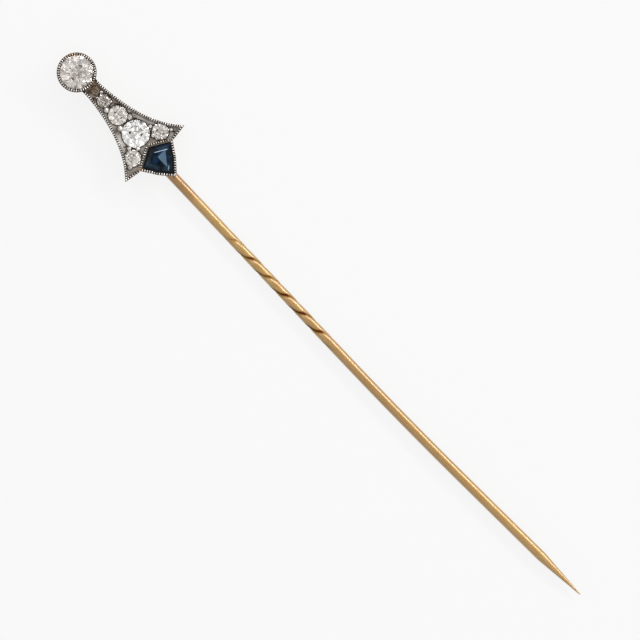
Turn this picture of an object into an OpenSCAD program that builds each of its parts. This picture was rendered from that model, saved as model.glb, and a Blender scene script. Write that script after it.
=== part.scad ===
// Stick pin for a tie, lying face up: a white metal head set with old cut diamonds and one kite
// sapphire, backed with gold, on a gold shaft that is twisted below the head and pointed at its end.
// X runs along the pin towards the point, Y across the head, Z up out of its face.

/* [Head] */
// Thickness of the gold back
back_t = 1; // [0.98:0.01:1.2]
// Thickness of the white metal plate on the gold back
plate_t = 0.93; // [0.85:0.01:1.05]
// Height of the raised rim round the plate
rail_h = 0.1; // [0.06:0.01:0.16]
// Width of the raised rim
rail_w = 0.28; // [0.2:0.01:0.3]
// Distance from the middle of the top stone to the tips of the wings
wing_x = 10.55; // [10.4:0.05:10.6]
// Distance from the middle line to the tip of each wing
wing_y = 3.85; // [3.6:0.01:3.9]
// Distance from the middle of the top stone to the shoulder of each wing
shoulder_x = 10.79; // [10.65:0.01:10.8]
// Distance from the middle line to the shoulder of each wing
shoulder_y = 2.26; // [2.2:0.01:2.4]
// Distance from the middle of the top stone to where the neck begins to flare
flare_x = 2.2; // [2:0.05:2.3]
// How much of the flare's spread is gentle and starts at the neck, the rest being close to the tips
flare_share = 0.58; // [0.4:0.01:0.8]
// Half the width of the neck
neck_y = 0.87; // [0.8:0.01:0.95]
// How far the gold back stays inside the outline of the plate
back_inset = 0.07; // [0.04:0.01:0.1]

/* [Collet] */
// Outer radius of the round collet
collet_r = 1.88; // [1.84:0.01:1.95]
// Radius of the collet's foot, on the gold back
collet_foot_r = 1.66; // [1.6:0.01:1.75]
// Height of the collet's rim above the surface that the pin lies on
collet_top = 2.52; // [2.45:0.01:2.6]
// Bevel round the top of the collet
collet_bevel = 0.1; // [0.05:0.01:0.14]
// Height of the collet's upright rim, with its bevel
collet_rim = 0.3; // [0.2:0.01:0.4]

/* [Kite] */
// Distance from the middle of the top stone to the near corner of the kite
kite_near = 9.76; // [9.72:0.01:9.8]
// Distance from the middle of the top stone to the side corners of the kite
kite_wide = 10.77; // [10.6:0.01:10.8]
// Distance from the middle of the top stone to the far corner of the kite
kite_far = 13.12; // [12.9:0.01:13.2]
// Distance from the middle line to each side corner
kite_y = 1.79; // [1.75:0.01:1.86]
// How far the middle of each far side bulges out
kite_swell = 0.1; // [0.04:0.01:0.12]
// Width of the kite's bezel
bezel_w = 0.25; // [0.2:0.01:0.3]
// How far the bezel's blunt tip lies past the far corner
bezel_tip = 0.24; // [0.2:0.01:0.3]

/* [Stones] */
// Radius of the top diamond
top_r = 1.62; // [1.55:0.01:1.66]
// Radius of the diamond in the neck
neck_r = 0.46; // [0.4:0.01:0.47]
// Radius of the second diamond
second_r = 0.66; // [0.6:0.01:0.67]
// Radius of the third diamond
third_r = 0.94; // [0.88:0.01:0.95]
// Radius of the main diamond
main_r = 1.33; // [1.25:0.01:1.34]
// Radius of the diamond in each wing
wing_r = 0.81; // [0.75:0.01:0.82]
// Distance of the neck diamond from the top diamond
neck_x = 2.46; // [2.4:0.01:2.47]
// How far the neck diamond lies to one side
neck_side = 0.07; // [0:0.01:0.08]
// Distance of the second diamond from the top diamond
second_x = 3.69; // [3.65:0.01:3.7]
// Distance of the third diamond from the top diamond
third_x = 5.56; // [5.52:0.01:5.57]
// Distance of the main diamond from the top diamond
main_x = 7.96; // [7.95:0.01:7.98]
// Distance of the wing diamonds from the top diamond
wing_stone_x = 9.42; // [9.4:0.01:9.44]
// Distance of each wing diamond from the middle line
wing_stone_y = 1.79; // [1.78:0.01:1.82]

/* [Shaft] */
// Diameter of the shaft
shaft_d = 0.96; // [0.8:0.01:0.96]
// Distance from the middle of the top stone to the point
point_x = 68; // [60:0.5:75]
// Length of the taper that ends in the point
taper_l = 5.05; // [4:0.05:7]
// Diameter of the blunt end of the point
point_d = 0.1; // [0.06:0.01:0.2]
// How far the shaft lies to one side where it leaves the kite
shaft_side = 0.24; // [0:0.01:0.3]
// Lean of the shaft away from the middle line, in degrees
lean = 0.5; // [0.1:0.1:1.5]
// How far the shaft's bow turns it back, in degrees
bow = 2.08; // [1.6:0.02:3]
// Distance from the middle of the top stone to the start of the bow
bow_x = 36; // [35:0.1:37]
// Radius of the bow
bow_r = 465; // [200:5:500]

/* [Twist] */
// Distance from the middle of the top stone to the start of the twist
twist_x = 18.3; // [16:0.1:20]
// Length of shaft that one full turn of the twist takes
turn_l = 4.72; // [3:0.01:8]
// Depth of the two grooves where they are deepest
groove_depth = 0.11; // [0.04:0.01:0.15]
// How far a groove's wide side reaches, in degrees round the shaft
groove_wide = 20; // [14:1:30]
// How far a groove's steep side reaches, in degrees round the shaft
groove_steep = 10; // [8:1:30]
// How much a groove crosses the face faster than an even helix, in degrees
groove_swing = 13; // [0:1:15]
// Length over which the grooves fade in
fade_in = 5.2; // [2:0.1:8]
// Length over which the grooves fade out
fade_out = 3.6; // [2:0.1:8]
// Distance from the middle of the top stone to a place where a groove crosses the face
groove_x = 23.85; // [20:0.01:28]

/* [Hidden] */
$fn = 64;
slit = 0.02;
deep = 4;
lift = 0.01;

// Heights above the surface that the pin lies on, with each girdle sunk a little below its rim
stone_sink = 0.05;
top_stone_sink = 0.1;
kite_sink = 0.09;
plate_z = back_t + slit;
face_z = plate_z + plate_t;
rail_z = face_z + rail_h;
girdle_z = face_z - stone_sink;
top_girdle_z = collet_top - top_stone_sink;
kite_girdle_z = rail_z - kite_sink;

// A stone is a row of its place along the head, its place across it, its radius, its girdle's height,
// how far it is turned in degrees, and how far its table lies off its middle, as a share of its radius
X = 0;
Y = 1;
R = 2;
G = 3;
TURN = 4;
SHIFT = 5;
top_stone = [0, 0, top_r, top_girdle_z, 14, 0.06];
neck_stone = [neck_x, neck_side, neck_r, girdle_z, 30, 0];
second_stone = [second_x, 0, second_r, girdle_z, 62, 0.07];
third_stone = [third_x, 0, third_r, girdle_z, 97, 0.05];
main_stone = [main_x, 0, main_r, girdle_z, 128, 0.04];
left_stone = [wing_stone_x, -wing_stone_y, wing_r, girdle_z, 205, 0.06];
right_stone = [wing_stone_x, wing_stone_y, wing_r, girdle_z, 286, 0.07];
round_stones = [top_stone, neck_stone, second_stone, third_stone, main_stone, left_stone, right_stone];

// Proportions of an old cut diamond, as shares of its radius
table_share = 0.52;
star_share = 0.74;
crown_share = 0.33;
band_share = 0.02;
lower_share = 0.34;
pavilion_share = 0.86;
culet_share = 0.07;
bore_share = 0.6;
corner = cos(22.5);
star_h = crown_share * (1 - star_share * corner) / (1 - table_share);
lower_h = pavilion_share * (1 - lower_share * corner) / (1 - culet_share);
seat_h = lower_h / (1 - lower_share) * (1 - bore_share);

// Steps of the kite stone: how far each lies outside the kite's outline, and its height over the girdle
kite_steps = [[-0.5, 0.3], [-0.2, 0.2], [0.04, 0.02], [0.04, -0.02], [-0.45, -0.42], [-1, -0.85]];
kite_bore = -0.35;

// The circle inside the kite, about which its outline grows and shrinks evenly
near_run = norm([kite_wide - kite_near, kite_y]);
far_run = norm([kite_far - kite_wide, kite_y]);
kite_mid = (kite_near / near_run + kite_far / far_run) / (1 / near_run + 1 / far_run);
kite_in = (kite_mid - kite_near) * kite_y / near_run;

// The kite's corners, with one in the middle of each far side, which bulges a little
swell_x = (kite_wide + kite_far) / 2 + kite_swell * kite_y / far_run;
swell_y = kite_y / 2 + kite_swell * (kite_far - kite_wide) / far_run;
kite_corners = [[kite_near, 0], [kite_wide, kite_y], [swell_x, swell_y], [kite_far, 0],
                [swell_x, -swell_y], [kite_wide, -kite_y]];

// The flare on each side of the wedge is a curve from the neck to the wing's tip, which adds a gentle
// power of the distance to a steep one
flare_dx = wing_x - flare_x;
flare_dy = wing_y - neck_y;
gentle = 1.5;
steep = 4.25;
flare_step = 0.025;
flare_end = 1.1;

// A grain that holds the stones is a row of its place along the head, its place across it and its radius
grains = [
    [2.93, 0.38, 0.16], [3.06, -0.3, 0.12], [4.19, 0.42, 0.14], [4.46, -0.46, 0.25],
    [6.42, 0.68, 0.27], [6.6, -0.72, 0.27], [8.4, 1.46, 0.19], [9.23, 1.06, 0.19],
    [8.53, -1.4, 0.22], [9.13, -0.82, 0.21], [9.98, 2.66, 0.18], [9.88, -2.58, 0.21]
];

// The shaft leaves the head level with its back, leans to one side, bows back and ends in the point
shaft_r = shaft_d / 2;
shaft_z = shaft_r + lift;
root_cover = 0.4;
root_x = kite_near - root_cover;
tip_x = kite_far + bezel_tip;
turned = bow - lean;
root_y = (tip_x - root_x) * tan(lean) - shaft_side;
twist_y = root_y - (twist_x - root_x) * tan(lean);
bow_start = [bow_x, root_y - (bow_x - root_x) * tan(lean)];
bow_mid = bow_start + bow_r * [sin(lean), cos(lean)];
bow_end = bow_mid + bow_r * [sin(turned), -cos(turned)];
end_l = (point_x - bow_end[0]) / cos(turned) - taper_l - point_d / 2;

// The twisted and the bowed stretch are one tube, measured from the start of the twist, and each of
// its ends is plugged into the plain shaft
root_l = (twist_x - root_x) / cos(lean);
twist_l = (bow_x - twist_x) / cos(lean);
bow_l = bow_r * bow * PI / 180;
groove_at = (groove_x - twist_x) / cos(lean);
plug = 0.1;
inside = 0.004;
ring_n = 32;
crowd = 17;
twist_step = 0.24;
bow_step = 1.5;
stations = concat(
    [-plug],
    [for (s = [0 : twist_step : twist_l - plug]) s],
    [for (s = [twist_l : bow_step : twist_l + bow_l - plug]) s],
    [twist_l + bow_l + plug]
);

// The wedge starts under the collet, whose foot stands a little outside the gold back's
wedge_start = 0.6;
foot_inset = 0.1;
blunt = 2;

// The origin lies under the middle of the whole pin
mid_x = (point_x - collet_r) / 2;

// Points of a regular ring, which can lie off the middle
function ring(n, r, z, off = 0) =
    [for (i = [0 : n - 1]) [off + r * cos(i * 360 / n), r * sin(i * 360 / n), z]];

// The same ring, turned by half a step of eight
function half_ring(r, z) = [for (i = [0 : 7]) [r * cos(22.5 + i * 45), r * sin(22.5 + i * 45), z]];

// The kite's corners, with its outline grown evenly
function kite(grow, z) = [for (p = kite_corners)
    [kite_mid + (p[0] - kite_mid) * (1 + grow / kite_in), p[1] * (1 + grow / kite_in), z]];

function kite_2d(grow) = [for (p = kite(grow, 0)) [p[0], p[1]]];

function ease(share) = let (s = min(max(share, 0), 1)) s * s * (3 - 2 * s);

function fade(s) = ease(s / fade_in) * ease((twist_l - s) / fade_out);

// Angle of a point from the nearer of the two grooves, and how much of the groove's depth it has
function near(a) = (a + 90) % 180 - 90;

function dip(a) = exp(-pow(near(a) / (near(a) < 0 ? groove_wide : groove_steep), 2));

// Heading of the tube and its place, straight along the twist and round the bow after it
function heading(s) = bow * min(max((s - twist_l) / bow_l, 0), 1) - lean;

function place(s) = s < twist_l
    ? [twist_x, twist_y] + s * [cos(lean), -sin(lean)]
    : s < twist_l + bow_l
        ? bow_mid + bow_r * [sin(heading(s)), -cos(heading(s))]
        : bow_end + (s - twist_l - bow_l) * [cos(turned), sin(turned)];

// One ring of the tube, with its points crowded at the grooves
function tube_ring(s) = [for (i = [0 : ring_n - 1])
    let (a = i * 360 / ring_n)
    let (b = (a - crowd * sin(2 * a) + 360) % 360)
    let (r = shaft_r - inside - groove_depth * fade(s) * dip(b))
    let (even = b + (min(s, twist_l) - groove_at) * 360 / turn_l)
    let (turn = even + groove_swing * sin(2 * even))
    [place(s)[0] - r * sin(turn) * sin(heading(s)), place(s)[1] + r * sin(turn) * cos(heading(s)),
     shaft_z + r * cos(turn)]];

// A point of the flare at a share of its length, moved inset inside the outline, and its slope there
function flare_slope(u) = flare_dy / flare_dx * (flare_share * gentle * pow(u, gentle - 1)
    + (1 - flare_share) * steep * pow(u, steep - 1));

function flare_y(u) = neck_y + flare_dy * (flare_share * pow(u, gentle) + (1 - flare_share) * pow(u, steep));

function flare_point(u, inset) = let (k = flare_slope(u), run = sqrt(1 + k * k))
    [flare_x + u * flare_dx + inset * k / run, flare_y(u) - inset / run];

module point_hull(points) {
    hull() polyhedron(points = points, faces = [[for (i = [0 : len(points) - 1]) i]]);
}

// Places what follows in the whole pin's frame
module in_frame() {
    translate([-mid_x, 0, 0]) children();
}

// Outline of the wedge, whose edges lie inset inside its own
module wedge(inset) {
    rise = inset * near_run / kite_y;
    side = [[wedge_start, neck_y - inset], [flare_x, neck_y - inset], [flare_x, wing_y],
            [wing_x - rise, wing_y], [shoulder_x - rise, shoulder_y], [kite_near - rise, 0]];
    difference() {
        polygon(concat(side, [for (i = [4 : -1 : 0]) [side[i][0], -side[i][1]]]));
        for (s = [-1, 1])
            scale([1, s]) polygon(concat(
                [for (u = [0 : flare_step : flare_end]) flare_point(u, inset)],
                [[wing_x + deep, wing_y + deep], [flare_x, wing_y + deep]]
            ));
    }
}

// Outline of the wedge and the kite's bezel together
module face_outline(inset) {
    wedge(inset);
    difference() {
        polygon(kite_2d(bezel_w - inset));
        translate([tip_x - inset, -blunt / 2]) square(blunt);
    }
}

// Space that a round stone takes in its seat, with a small gap all round and an open back
module seat(stone) {
    r = stone[R];
    band = r * band_share;
    translate([stone[X], stone[Y], stone[G]])
        rotate_extrude() polygon([
            [0, -deep], [r * bore_share + slit, -deep], [r * bore_share + slit, -band - r * seat_h],
            [r + slit, -band], [r + slit, band], [r * star_share + slit, band + r * star_h],
            [r * star_share + slit, deep], [0, deep]
        ]);
}

module kite_seat() {
    point_hull([for (step = kite_steps) each kite(step[0] + slit, kite_girdle_z + step[1])]);
    linear_extrude(kite_girdle_z) polygon(kite_2d(kite_bore));
}

module collet() {
    rotate_extrude() polygon([
        [0, plate_z], [collet_foot_r, plate_z], [collet_r, collet_top - collet_rim],
        [collet_r, collet_top - collet_bevel], [collet_r - collet_bevel, collet_top], [0, collet_top]
    ]);
}

module grain(row) {
    translate([row[X], row[Y], face_z]) sphere(r = row[R], $fn = 32);
}

// White metal face in one piece: collet, plate with its raised rims, kite bezel and grains
module setting() {
    color("silver") in_frame() difference() {
        union() {
            difference() {
                translate([0, 0, plate_z]) linear_extrude(plate_t + rail_h) face_outline(0);
                translate([0, 0, face_z]) linear_extrude(deep) wedge(rail_w);
            }
            collet();
            for (row = grains) grain(row);
        }
        for (stone = round_stones) seat(stone);
        kite_seat();
    }
}

// Gold back of the head, open behind each stone
module back() {
    difference() {
        union() {
            linear_extrude(back_t) face_outline(back_inset);
            cylinder(h = back_t, r1 = collet_foot_r - foot_inset, r2 = collet_foot_r);
        }
        for (stone = round_stones)
            translate([stone[X], stone[Y], -deep]) cylinder(h = 2 * deep, r = stone[R] * bore_share);
        translate([0, 0, -deep]) linear_extrude(2 * deep) polygon(kite_2d(kite_bore));
    }
}

// Twisted and bowed stretch of the shaft, with two grooves that wind round it
module tube() {
    last = len(stations) - 1;
    sides = [for (k = [0 : last - 1]) for (i = [0 : ring_n - 1])
        let (here = k * ring_n, next = here + ring_n, j = (i + 1) % ring_n)
        each [[here + i, here + j, next + i], [here + j, next + j, next + i]]];
    start = [for (i = [ring_n - 1 : -1 : 0]) i];
    end = [for (i = [0 : ring_n - 1]) last * ring_n + i];
    polyhedron(points = [for (s = stations) each tube_ring(s)], faces = concat(sides, [start], [end]),
               convexity = 6);
}

module shaft() {
    translate([root_x, root_y, shaft_z]) rotate([0, 90, -lean]) cylinder(h = root_l, r = shaft_r);
    tube();
    translate([bow_end[0], bow_end[1], shaft_z]) rotate([0, 90, turned]) {
        cylinder(h = end_l, r = shaft_r);
        translate([0, 0, end_l]) cylinder(h = taper_l, r1 = shaft_r, r2 = point_d / 2);
        translate([0, 0, end_l + taper_l]) sphere(r = point_d / 2, $fn = 32);
    }
}

// Gold back and shaft, soldered into one piece
module pin() {
    color("goldenrod") in_frame() {
        back();
        shaft();
    }
}

// A round stone with a table, crown, girdle, pavilion and small culet
module diamond(stone) {
    r = stone[R];
    band = r * band_share;
    off = r * stone[SHIFT];
    in_frame() translate([stone[X], stone[Y], stone[G]]) rotate([0, 0, stone[TURN]]) point_hull(concat(
        ring(8, r * table_share, band + r * crown_share, off),
        half_ring(r * star_share, band + r * star_h),
        ring(16, r, band),
        ring(16, r, -band),
        half_ring(r * lower_share, -band - r * lower_h),
        ring(8, r * culet_share, -band - r * pavilion_share, -off / 2)
    ));
}

module top_diamond() {
    color("gainsboro") diamond(top_stone);
}

module neck_diamond() {
    color("dimgray") diamond(neck_stone);
}

module second_diamond() {
    color("gainsboro") diamond(second_stone);
}

module third_diamond() {
    color("gainsboro") diamond(third_stone);
}

module main_diamond() {
    color("whitesmoke") diamond(main_stone);
}

module left_wing_diamond() {
    color("gainsboro") diamond(left_stone);
}

module right_wing_diamond() {
    color("gainsboro") diamond(right_stone);
}

module kite_sapphire() {
    color("midnightblue") in_frame()
        point_hull([for (step = kite_steps) each kite(step[0], kite_girdle_z + step[1])]);
}

pin();
setting();
top_diamond();
neck_diamond();
second_diamond();
third_diamond();
main_diamond();
left_wing_diamond();
right_wing_diamond();
kite_sapphire();
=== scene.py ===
import math

import bmesh
import bpy
import numpy as np
from mathutils import Matrix, Vector


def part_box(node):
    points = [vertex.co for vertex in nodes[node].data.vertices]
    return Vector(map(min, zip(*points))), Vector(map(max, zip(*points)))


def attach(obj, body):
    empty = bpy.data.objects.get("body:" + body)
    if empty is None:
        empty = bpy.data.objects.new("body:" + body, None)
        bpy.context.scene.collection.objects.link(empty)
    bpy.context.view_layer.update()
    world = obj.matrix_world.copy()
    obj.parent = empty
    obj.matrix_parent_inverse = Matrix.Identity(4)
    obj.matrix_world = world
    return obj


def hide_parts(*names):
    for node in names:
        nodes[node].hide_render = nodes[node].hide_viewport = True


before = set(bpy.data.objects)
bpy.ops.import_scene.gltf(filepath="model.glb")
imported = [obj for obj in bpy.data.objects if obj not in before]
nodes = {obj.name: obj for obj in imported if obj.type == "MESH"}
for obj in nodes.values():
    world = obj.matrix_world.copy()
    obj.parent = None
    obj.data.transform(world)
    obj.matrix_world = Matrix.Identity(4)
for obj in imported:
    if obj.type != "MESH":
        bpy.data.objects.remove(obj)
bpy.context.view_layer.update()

scene = bpy.context.scene
mm = 0.001
degree = math.pi / 180
midX = 33.06  # from the middle of the top stone to the origin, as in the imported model
mergeReach = 0.0005  # mm, within which the corners of a copied mesh become one


def addObject(name, data):
    made = bpy.data.objects.new(name, data)
    scene.collection.objects.link(made)
    return made


# Camera

cameraSettings = {
    "target": (-0.562, 0.373, 1.5),  # what the middle of the picture shows, in mm
    "turn": 46.157,  # degrees; the pin runs down to the right
    "fieldWidth": 59.97,  # mm across the picture
    "lens": 600.0,
    "sensor": 36.0,
    "clip": (0.01, 10.0),  # nearest and farthest, in metres
}


def makeCamera(values):
    data = bpy.data.cameras.new("camera")
    data.lens = values["lens"]
    data.sensor_width = values["sensor"]
    data.clip_start, data.clip_end = values["clip"]
    made = addObject("camera", data)
    away = values["fieldWidth"] * values["lens"] / values["sensor"]
    x, y, z = values["target"]
    made.location = (x * mm, y * mm, (z + away) * mm)
    made.rotation_euler = (0.0, 0.0, math.radians(values["turn"]))
    scene.camera = made


makeCamera(cameraSettings)
print("camera is set")


# Sums on sockets

class Wire:  # a socket that takes part in sums
    def __init__(self, graph, socket):
        self.graph = graph
        self.socket = socket

    def __getitem__(self, name):  # another output of the same node
        return Wire(self.graph, self.socket.node.outputs[name])

    def sumsOf(operation):  # an operator, and its reflected form for a plain number on the left
        def plain(self, other):
            return self.graph.calc(operation, self, other)

        def reflected(self, other):
            return self.graph.calc(operation, other, self)

        return plain, reflected

    __add__, __radd__ = sumsOf("ADD")
    __sub__, __rsub__ = sumsOf("SUBTRACT")
    __mul__, __rmul__ = sumsOf("MULTIPLY")
    __truediv__, __rtruediv__ = sumsOf("DIVIDE")

    def __neg__(self):
        return self.graph.calc("MULTIPLY", self, -1.0)


def sway(pattern, width):  # noise turned into an even swing about zero
    return (pattern - 0.5) * width


class Graph:  # one node tree, and the ways to add to it
    def __init__(self, tree):
        self.tree = tree

    def node(self, kind, settings=None, inputs=None, output=0):
        made = self.tree.nodes.new(kind)
        for name, value in (settings or {}).items():
            if name == "stops":
                self.setStops(made.color_ramp, value)
            else:
                setattr(made, name, value)
        for key, value in (inputs or {}).items():
            if isinstance(value, Wire):
                self.tree.links.new(value.socket, made.inputs[key])
            else:
                made.inputs[key].default_value = value
        return Wire(self, made.outputs[output]) if len(made.outputs) else made

    def setStops(self, ramp, stops):
        while len(ramp.elements) < len(stops):
            ramp.elements.new(0.5)
        for element, (place, tone) in zip(ramp.elements, stops):
            element.position = place
            element.color = (*tone, 1.0)

    def calc(self, operation, *values):
        return self.node("ShaderNodeMath", {"operation": operation}, dict(enumerate(values)))

    def smooth(self, value, low, high):  # 0 at low, 1 at high, eased between
        inputs = {"Value": value, "From Min": low, "From Max": high, "To Min": 0.0, "To Max": 1.0}
        return self.node("ShaderNodeMapRange", {"interpolation_type": "SMOOTHSTEP"}, inputs)

    def clip(self, value):
        return self.calc("MINIMUM", self.calc("MAXIMUM", value, 0.0), 1.0)

    def blend(self, share, first, second):  # of two colours, each a wire or three numbers
        first, second = (c if isinstance(c, Wire) else (*c, 1.0) for c in (first, second))
        settings = {"data_type": "RGBA", "blend_type": "MIX"}
        return self.node("ShaderNodeMix", settings, {0: share, 6: first, 7: second}, output=2)

    def scaled(self, vector, scale):
        return self.node("ShaderNodeVectorMath", {"operation": "MULTIPLY"}, {0: vector, 1: scale})

    def split(self, vector):
        return self.node("ShaderNodeSeparateXYZ", None, {0: vector})

    def joined(self, x, y, z):
        return self.node("ShaderNodeCombineXYZ", None, {0: x, 1: y, 2: z})

    def noise(self, vector, scale, detail, roughness, distortion=0.0):
        inputs = {"Vector": vector, "Scale": scale, "Detail": detail, "Roughness": roughness,
                  "Distortion": distortion}
        return self.node("ShaderNodeTexNoise", None, inputs)


class Finish(Graph):  # the tree of one material
    def __init__(self, name, values):
        self.material = bpy.data.materials.new(name)
        self.material.use_nodes = True
        super().__init__(self.material.node_tree)
        self.shader = self.tree.nodes["Principled BSDF"]
        for key, value in values.items():
            self.shader.inputs[key].default_value = value
        spot = self.node("ShaderNodeTexCoord", output="Object")
        self.place = self.scaled(spot, (1.0 / mm,) * 3)  # Object coordinates in mm

    def attribute(self, name):
        return self.node("ShaderNodeAttribute", {"attribute_name": name}, output="Fac")

    def uneven(self, name, pattern, strength, width):  # an attribute broken up by noise
        return self.clip(self.attribute(name) * (strength + sway(pattern, width)))

    def give(self, **wires):  # Base_Color=..., Roughness=...
        for key, wire in wires.items():
            self.tree.links.new(wire.socket, self.shader.inputs[key.replace("_", " ")])

    def bump(self, height, depth):  # depth in mm
        inputs = {"Height": height, "Strength": 1.0, "Distance": depth * mm}
        self.give(Normal=self.node("ShaderNodeBump", None, inputs))


# Geometry Nodes trees with named inputs

class Shaper(Graph):
    def __init__(self, name, inputs):
        super().__init__(bpy.data.node_groups.new(name, "GeometryNodeTree"))
        sockets = self.tree.interface
        sockets.new_socket("Geometry", in_out="INPUT", socket_type="NodeSocketGeometry")
        sockets.new_socket("Geometry", in_out="OUTPUT", socket_type="NodeSocketGeometry")
        self.keys = {}
        for label, value in inputs.items():
            kind = "NodeSocketInt" if isinstance(value, int) else "NodeSocketFloat"
            item = sockets.new_socket(label, in_out="INPUT", socket_type=kind)
            item.default_value = value
            self.keys[label] = item.identifier
        item = sockets.new_socket("Finish", in_out="INPUT", socket_type="NodeSocketMaterial")
        self.keys["Finish"] = item.identifier
        self.source = self.node("NodeGroupInput")

    def asked(self, label):
        return self.source[label]

    def finish(self, geometry):  # smooth shading, real geometry and a material end every tree
        geometry = self.node("GeometryNodeRealizeInstances", None, {"Geometry": geometry})
        geometry = self.node("GeometryNodeSetShadeSmooth", None, {"Geometry": geometry})
        geometry = self.node("GeometryNodeSetMaterial", None,
                             {"Geometry": geometry, "Material": self.asked("Finish")})
        self.node("NodeGroupOutput", None, {"Geometry": geometry})

    def grow(self, piece, values, material):  # runs the tree and leaves a plain mesh
        modifier = piece.modifiers.new("shaper", "NODES")
        modifier.node_group = self.tree
        for label, value in values.items():
            modifier[self.keys[label]] = value
        modifier[self.keys["Finish"]] = material
        settle(piece)


def settle(piece):  # puts the evaluated mesh in place of the piece's own, and drops its modifiers
    bpy.context.view_layer.update()
    depsgraph = bpy.context.evaluated_depsgraph_get()
    made = bpy.data.meshes.new_from_object(piece.evaluated_get(depsgraph), depsgraph=depsgraph)
    made.name = piece.name
    piece.modifiers.clear()
    piece.data = made


def newPiece(name, points, edges=(), faces=()):
    mesh = bpy.data.meshes.new(name)
    mesh.from_pydata(points, edges, faces)
    return addObject(name, mesh)


def toFrame(piece):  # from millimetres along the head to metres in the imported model's frame
    piece.data.transform(Matrix.Scale(mm, 4) @ Matrix.Translation((-midX, 0.0, 0.0)))
    piece.data.update()


def rework(mesh, change):  # makes one change to a mesh's corners and faces
    work = bmesh.new()
    work.from_mesh(mesh)
    change(work)
    work.to_mesh(mesh)
    work.free()


def mergeCorners(work):
    bmesh.ops.remove_doubles(work, verts=work.verts, dist=mergeReach)


def turnFacesOut(work):
    bmesh.ops.recalc_face_normals(work, faces=work.faces)


def cadCopy(node, name):  # a node's mesh in millimetres, its loose triangles merged
    mesh = nodes[node].data.copy()
    mesh.name = name
    mesh.transform(Matrix.Translation((midX, 0.0, 0.0)) @ Matrix.Scale(1.0 / mm, 4))
    rework(mesh, mergeCorners)
    return addObject(name, mesh)


def giveFinish(piece, material):
    piece.data.materials.clear()
    piece.data.materials.append(material)


def shadeSmooth(piece):
    for polygon in piece.data.polygons:
        polygon.use_smooth = True


# Marks on the corners of a mesh

def corners(piece):
    co = np.empty(len(piece.data.vertices) * 3)
    piece.data.vertices.foreach_get("co", co)
    return co.reshape(-1, 3)


def mark(piece, name, values):  # keeps one number for each corner
    made = piece.data.attributes.new(name, "FLOAT", "POINT")
    made.data.foreach_set("value", np.asarray(values, np.float32))


def fromLine(xy, line):  # distance of each point from a line of corners
    best = np.full(len(xy), np.inf)
    for a, b in zip(line[:-1], line[1:]):
        a, b = np.array(a, float), np.array(b, float)
        step = b - a
        share = np.clip((xy - a) @ step / (step @ step), 0, 1)
        best = np.minimum(best, np.linalg.norm(xy - a - share[:, None] * step, axis=1))
    return best


def fromRing(xy, x, y, radius, wider=0.0):  # distance of each point from a circle
    return np.abs(np.linalg.norm(xy - (x, y), axis=1) - radius - wider)


def fadeOut(away, reach):  # 1 at no distance, and next to nothing at twice the reach
    return np.exp(-(away / reach) ** 2)


def spots(xy, rows):  # each row has a place, a radius and a strength
    total = np.zeros(len(xy))
    for place, radius, strength in rows:
        away = np.linalg.norm(xy - np.array(place), axis=1)
        total = np.maximum(total, strength * fadeOut(away, radius))
    return total


# Sizes of the head, in mm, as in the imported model

head = {
    "railTop": 2.05,
    "faceTop": 1.95,
    "railWidth": 0.28,
    "wingTip": (10.55, 3.85),
    "shoulder": (10.79, 2.26),
    "neckStart": 1.75,  # where the rims begin, inside the collet
    "neckY": 0.87,
    "flareX": 2.2,
    "flareShare": 0.58,  # how much of the flare is gentle, the rest being steep near the tips
    "flarePowers": (1.5, 4.25),
    "flareSteps": 400,
    "linePoints": 60,
    "lineEnd": 0.9,  # how far before the wing's tip a line ends, as a share of its inset
    "colletR": 1.88,
    "colletTop": 2.52,
    "kiteNear": 9.76,
    "kiteSide": (10.77, 1.79),
    "kiteFar": 13.12,
    "kiteSwell": 0.1,  # how far the middle of each far side bulges out
}


def stoneAt(node):  # place and radius of a round stone, from its node
    low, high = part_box(node)
    x, y = (low.x + high.x) / 2 / mm + midX, (low.y + high.y) / 2 / mm
    return x, y, (high.x - low.x) / 2 / mm


roundStones = [stoneAt(name) for name in nodes if name.endswith("_diamond")]


def flareLine(side, inset):  # from the collet along the neck and the flare to the wing's tip
    (tipX, tipY), x0, y0 = head["wingTip"], head["flareX"], head["neckY"]
    share, (gentle, steep) = head["flareShare"], head["flarePowers"]
    along = np.linspace(0, 1, head["flareSteps"])
    rise = (tipY - y0) * (share * along ** gentle + (1 - share) * along ** steep)
    slope = np.gradient(rise, along * (tipX - x0))
    run = np.sqrt(1 + slope ** 2)
    x, y = x0 + along * (tipX - x0) + inset * slope / run, y0 + rise - inset / run
    places = np.linspace(x[0], tipX - head["lineEnd"] * inset, head["linePoints"])
    start = Vector((head["neckStart"], side * (y0 - inset)))
    return [start, *(Vector((px, side * py)) for px, py in zip(places, np.interp(places, x, y)))]


def kiteMiddle():  # the place that is equally far from the kite's four sides, and how far
    x0, (x1, y), x2 = head["kiteNear"], head["kiteSide"], head["kiteFar"]
    nearRun, farRun = math.hypot(x1 - x0, y), math.hypot(x2 - x1, y)
    middle = (x0 / nearRun + x2 / farRun) / (1 / nearRun + 1 / farRun)
    return middle, (middle - x0) * y / nearRun


def kiteLine(grow):  # the kite's six corners, its outline grown evenly
    middle, inner = kiteMiddle()
    share = 1 + grow / inner
    (sideX, sideY), farX = head["kiteSide"], head["kiteFar"]
    out = head["kiteSwell"] / math.hypot(farX - sideX, sideY)
    swellX, swellY = (sideX + farX) / 2 + out * sideY, sideY / 2 + out * (farX - sideX)
    raw = [(head["kiteNear"], 0), (sideX, sideY), (swellX, swellY), (farX, 0),
           (swellX, -swellY), (sideX, -sideY)]
    return [Vector((middle + (x - middle) * share, y * share)) for x, y in raw]


print("sizes are read")


# Finishes of the metals

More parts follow.
